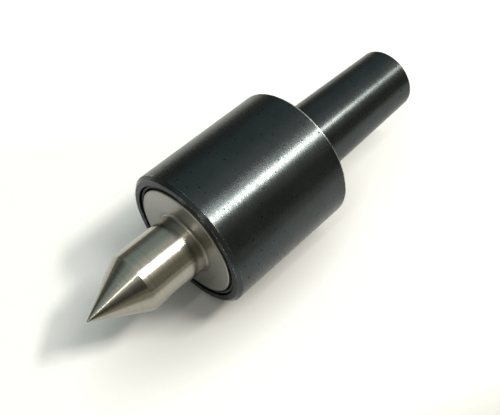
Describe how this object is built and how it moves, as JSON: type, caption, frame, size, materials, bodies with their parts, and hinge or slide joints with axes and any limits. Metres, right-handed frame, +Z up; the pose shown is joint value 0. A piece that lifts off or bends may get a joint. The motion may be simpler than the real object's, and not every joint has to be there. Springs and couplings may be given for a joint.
{
  "type": "live center",
  "caption": "Live center: a 60 degree point on a flanged spindle that turns on ball, thrust and needle bearings in a short round body with a tapered shank.",
  "frame": {"origin": "on the object's axis, in the plane where the shank leaves the body's rear face", "axes": "+Y along the axis from the point to the shank's end, +Z up with the object lying on its side, +X to its right"},
  "size_m": [0.034, 0.0987, 0.034],
  "materials": {
    "black_steel": "glossy black oxide",
    "ground_steel": "ground, satin",
    "seal_rubber": "matte",
    "bearing_steel": "ground",
    "rolling_steel": "polished",
    "shield_steel": "pressed sheet",
    "cage_brass": "machined",
    "spring_steel": "phosphated"
  },
  "bodies": {
    "housing": {"body_and_shank": "black_steel", "front_seal": "seal_rubber", "front_outer_ring": "bearing_steel", "front_shield": "shield_steel", "rear_shield": "shield_steel", "thrust_housing_washer": "bearing_steel", "needle_cup": "bearing_steel"},
    "spindle": {"center_spindle": "ground_steel", "front_inner_ring": "bearing_steel", "circlip": "spring_steel", "thrust_shaft_washer": "bearing_steel"},
    "front_cage": {"front_cage": "cage_brass"},
    "thrust_cage": {"thrust_cage": "cage_brass"},
    "needle_cage": {"needle_cage": "shield_steel"},
    "front_ball_01": {"front_ball_01": "rolling_steel"},
    "front_ball_02": {"front_ball_02": "rolling_steel"},
    "front_ball_03": {"front_ball_03": "rolling_steel"},
    "front_ball_04": {"front_ball_04": "rolling_steel"},
    "front_ball_05": {"front_ball_05": "rolling_steel"},
    "front_ball_06": {"front_ball_06": "rolling_steel"},
    "front_ball_07": {"front_ball_07": "rolling_steel"},
    "front_ball_08": {"front_ball_08": "rolling_steel"},
    "thrust_ball_01": {"thrust_ball_01": "rolling_steel"},
    "thrust_ball_02": {"thrust_ball_02": "rolling_steel"},
    "thrust_ball_03": {"thrust_ball_03": "rolling_steel"},
    "thrust_ball_04": {"thrust_ball_04": "rolling_steel"},
    "thrust_ball_05": {"thrust_ball_05": "rolling_steel"},
    "thrust_ball_06": {"thrust_ball_06": "rolling_steel"},
    "thrust_ball_07": {"thrust_ball_07": "rolling_steel"},
    "thrust_ball_08": {"thrust_ball_08": "rolling_steel"},
    "needle_roller_01": {"needle_roller_01": "rolling_steel"},
    "needle_roller_02": {"needle_roller_02": "rolling_steel"},
    "needle_roller_03": {"needle_roller_03": "rolling_steel"},
    "needle_roller_04": {"needle_roller_04": "rolling_steel"},
    "needle_roller_05": {"needle_roller_05": "rolling_steel"},
    "needle_roller_06": {"needle_roller_06": "rolling_steel"},
    "needle_roller_07": {"needle_roller_07": "rolling_steel"},
    "needle_roller_08": {"needle_roller_08": "rolling_steel"},
    "needle_roller_09": {"needle_roller_09": "rolling_steel"},
    "needle_roller_10": {"needle_roller_10": "rolling_steel"},
    "needle_roller_11": {"needle_roller_11": "rolling_steel"},
    "needle_roller_12": {"needle_roller_12": "rolling_steel"}
  },
  "joints": [
    {"name": "spindle_spin", "type": "hinge", "parent": "housing", "child": "spindle", "pos_m": [0, 0, 0], "axis": [0, 1, 0], "continuous": true},
    {"name": "front_cage_orbit", "type": "hinge", "parent": "housing", "child": "front_cage", "pos_m": [0, -0.02425, 0], "axis": [0, 1, 0], "continuous": true},
    {"name": "thrust_cage_orbit", "type": "hinge", "parent": "housing", "child": "thrust_cage", "pos_m": [0, -0.01225, 0], "axis": [0, 1, 0], "continuous": true},
    {"name": "needle_cage_orbit", "type": "hinge", "parent": "housing", "child": "needle_cage", "pos_m": [0, -0.0005, 0], "axis": [0, 1, 0], "continuous": true},
    {"name": "front_ball_01_roll", "type": "hinge", "parent": "front_cage", "child": "front_ball_01", "pos_m": [0.01, -0.02425, 0], "axis": [0, 1, 0], "continuous": true},
    {"name": "front_ball_02_roll", "type": "hinge", "parent": "front_cage", "child": "front_ball_02", "pos_m": [0.00707, -0.02425, 0.00707], "axis": [0, 1, 0], "continuous": true},
    {"name": "front_ball_03_roll", "type": "hinge", "parent": "front_cage", "child": "front_ball_03", "pos_m": [0, -0.02425, 0.01], "axis": [0, 1, 0], "continuous": true},
    {"name": "front_ball_04_roll", "type": "hinge", "parent": "front_cage", "child": "front_ball_04", "pos_m": [-0.00707, -0.02425, 0.00707], "axis": [0, 1, 0], "continuous": true},
    {"name": "front_ball_05_roll", "type": "hinge", "parent": "front_cage", "child": "front_ball_05", "pos_m": [-0.01, -0.02425, 0], "axis": [0, 1, 0], "continuous": true},
    {"name": "front_ball_06_roll", "type": "hinge", "parent": "front_cage", "child": "front_ball_06", "pos_m": [-0.00707, -0.02425, -0.00707], "axis": [0, 1, 0], "continuous": true},
    {"name": "front_ball_07_roll", "type": "hinge", "parent": "front_cage", "child": "front_ball_07", "pos_m": [0, -0.02425, -0.01], "axis": [0, 1, 0], "continuous": true},
    {"name": "front_ball_08_roll", "type": "hinge", "parent": "front_cage", "child": "front_ball_08", "pos_m": [0.00707, -0.02425, -0.00707], "axis": [0, 1, 0], "continuous": true},
    {"name": "thrust_ball_01_roll", "type": "hinge", "parent": "thrust_cage", "child": "thrust_ball_01", "pos_m": [0.0085, -0.01225, 0], "axis": [1, 0, 0], "continuous": true},
    {"name": "thrust_ball_02_roll", "type": "hinge", "parent": "thrust_cage", "child": "thrust_ball_02", "pos_m": [0.00601, -0.01225, 0.00601], "axis": [0.7071, 0, 0.7071], "continuous": true},
    {"name": "thrust_ball_03_roll", "type": "hinge", "parent": "thrust_cage", "child": "thrust_ball_03", "pos_m": [0, -0.01225, 0.0085], "axis": [0, 0, 1], "continuous": true},
    {"name": "thrust_ball_04_roll", "type": "hinge", "parent": "thrust_cage", "child": "thrust_ball_04", "pos_m": [-0.00601, -0.01225, 0.00601], "axis": [-0.7071, 0, 0.7071], "continuous": true},
    {"name": "thrust_ball_05_roll", "type": "hinge", "parent": "thrust_cage", "child": "thrust_ball_05", "pos_m": [-0.0085, -0.01225, 0], "axis": [-1, 0, 0], "continuous": true},
    {"name": "thrust_ball_06_roll", "type": "hinge", "parent": "thrust_cage", "child": "thrust_ball_06", "pos_m": [-0.00601, -0.01225, -0.00601], "axis": [-0.7071, 0, -0.7071], "continuous": true},
    {"name": "thrust_ball_07_roll", "type": "hinge", "parent": "thrust_cage", "child": "thrust_ball_07", "pos_m": [0, -0.01225, -0.0085], "axis": [0, 0, -1], "continuous": true},
    {"name": "thrust_ball_08_roll", "type": "hinge", "parent": "thrust_cage", "child": "thrust_ball_08", "pos_m": [0.00601, -0.01225, -0.00601], "axis": [0.7071, 0, -0.7071], "continuous": true},
    {"name": "needle_roller_01_roll", "type": "hinge", "parent": "needle_cage", "child": "needle_roller_01", "pos_m": [0.0048, -0.0005, 0], "axis": [0, 1, 0], "continuous": true},
    {"name": "needle_roller_02_roll", "type": "hinge", "parent": "needle_cage", "child": "needle_roller_02", "pos_m": [0.00416, -0.0005, 0.0024], "axis": [0, 1, 0], "continuous": true},
    {"name": "needle_roller_03_roll", "type": "hinge", "parent": "needle_cage", "child": "needle_roller_03", "pos_m": [0.0024, -0.0005, 0.00416], "axis": [0, 1, 0], "continuous": true},
    {"name": "needle_roller_04_roll", "type": "hinge", "parent": "needle_cage", "child": "needle_roller_04", "pos_m": [0, -0.0005, 0.0048], "axis": [0, 1, 0], "continuous": true},
    {"name": "needle_roller_05_roll", "type": "hinge", "parent": "needle_cage", "child": "needle_roller_05", "pos_m": [-0.0024, -0.0005, 0.00416], "axis": [0, 1, 0], "continuous": true},
    {"name": "needle_roller_06_roll", "type": "hinge", "parent": "needle_cage", "child": "needle_roller_06", "pos_m": [-0.00416, -0.0005, 0.0024], "axis": [0, 1, 0], "continuous": true},
    {"name": "needle_roller_07_roll", "type": "hinge", "parent": "needle_cage", "child": "needle_roller_07", "pos_m": [-0.0048, -0.0005, 0], "axis": [0, 1, 0], "continuous": true},
    {"name": "needle_roller_08_roll", "type": "hinge", "parent": "needle_cage", "child": "needle_roller_08", "pos_m": [-0.00416, -0.0005, -0.0024], "axis": [0, 1, 0], "continuous": true},
    {"name": "needle_roller_09_roll", "type": "hinge", "parent": "needle_cage", "child": "needle_roller_09", "pos_m": [-0.0024, -0.0005, -0.00416], "axis": [0, 1, 0], "continuous": true},
    {"name": "needle_roller_10_roll", "type": "hinge", "parent": "needle_cage", "child": "needle_roller_10", "pos_m": [0, -0.0005, -0.0048], "axis": [0, 1, 0], "continuous": true},
    {"name": "needle_roller_11_roll", "type": "hinge", "parent": "needle_cage", "child": "needle_roller_11", "pos_m": [0.0024, -0.0005, -0.00416], "axis": [0, 1, 0], "continuous": true},
    {"name": "needle_roller_12_roll", "type": "hinge", "parent": "needle_cage", "child": "needle_roller_12", "pos_m": [0.00416, -0.0005, -0.0024], "axis": [0, 1, 0], "continuous": true}
  ],
  "couplings": [
    {"joint": "front_cage_orbit", "follows": "spindle_spin", "ratio": 0.38094},
    {"joint": "thrust_cage_orbit", "follows": "spindle_spin", "ratio": 0.5},
    {"joint": "needle_cage_orbit", "follows": "spindle_spin", "ratio": 0.42708},
    {"joint": "front_ball_01_roll", "follows": "spindle_spin", "ratio": -1.9807},
    {"joint": "front_ball_02_roll", "follows": "spindle_spin", "ratio": -1.9807},
    {"joint": "front_ball_03_roll", "follows": "spindle_spin", "ratio": -1.9807},
    {"joint": "front_ball_04_roll", "follows": "spindle_spin", "ratio": -1.9807},
    {"joint": "front_ball_05_roll", "follows": "spindle_spin", "ratio": -1.9807},
    {"joint": "front_ball_06_roll", "follows": "spindle_spin", "ratio": -1.9807},
    {"joint": "front_ball_07_roll", "follows": "spindle_spin", "ratio": -1.9807},
    {"joint": "front_ball_08_roll", "follows": "spindle_spin", "ratio": -1.9807},
    {"joint": "thrust_ball_01_roll", "follows": "spindle_spin", "ratio": 1.7849},
    {"joint": "thrust_ball_02_roll", "follows": "spindle_spin", "ratio": 1.7849},
    {"joint": "thrust_ball_03_roll", "follows": "spindle_spin", "ratio": 1.7849},
    {"joint": "thrust_ball_04_roll", "follows": "spindle_spin", "ratio": 1.7849},
    {"joint": "thrust_ball_05_roll", "follows": "spindle_spin", "ratio": 1.7849},
    {"joint": "thrust_ball_06_roll", "follows": "spindle_spin", "ratio": 1.7849},
    {"joint": "thrust_ball_07_roll", "follows": "spindle_spin", "ratio": 1.7849},
    {"joint": "thrust_ball_08_roll", "follows": "spindle_spin", "ratio": 1.7849},
    {"joint": "needle_roller_01_roll", "follows": "spindle_spin", "ratio": -3.3557},
    {"joint": "needle_roller_02_roll", "follows": "spindle_spin", "ratio": -3.3557},
    {"joint": "needle_roller_03_roll", "follows": "spindle_spin", "ratio": -3.3557},
    {"joint": "needle_roller_04_roll", "follows": "spindle_spin", "ratio": -3.3557},
    {"joint": "needle_roller_05_roll", "follows": "spindle_spin", "ratio": -3.3557},
    {"joint": "needle_roller_06_roll", "follows": "spindle_spin", "ratio": -3.3557},
    {"joint": "needle_roller_07_roll", "follows": "spindle_spin", "ratio": -3.3557},
    {"joint": "needle_roller_08_roll", "follows": "spindle_spin", "ratio": -3.3557},
    {"joint": "needle_roller_09_roll", "follows": "spindle_spin", "ratio": -3.3557},
    {"joint": "needle_roller_10_roll", "follows": "spindle_spin", "ratio": -3.3557},
    {"joint": "needle_roller_11_roll", "follows": "spindle_spin", "ratio": -3.3557},
    {"joint": "needle_roller_12_roll", "follows": "spindle_spin", "ratio": -3.3557}
  ]
}
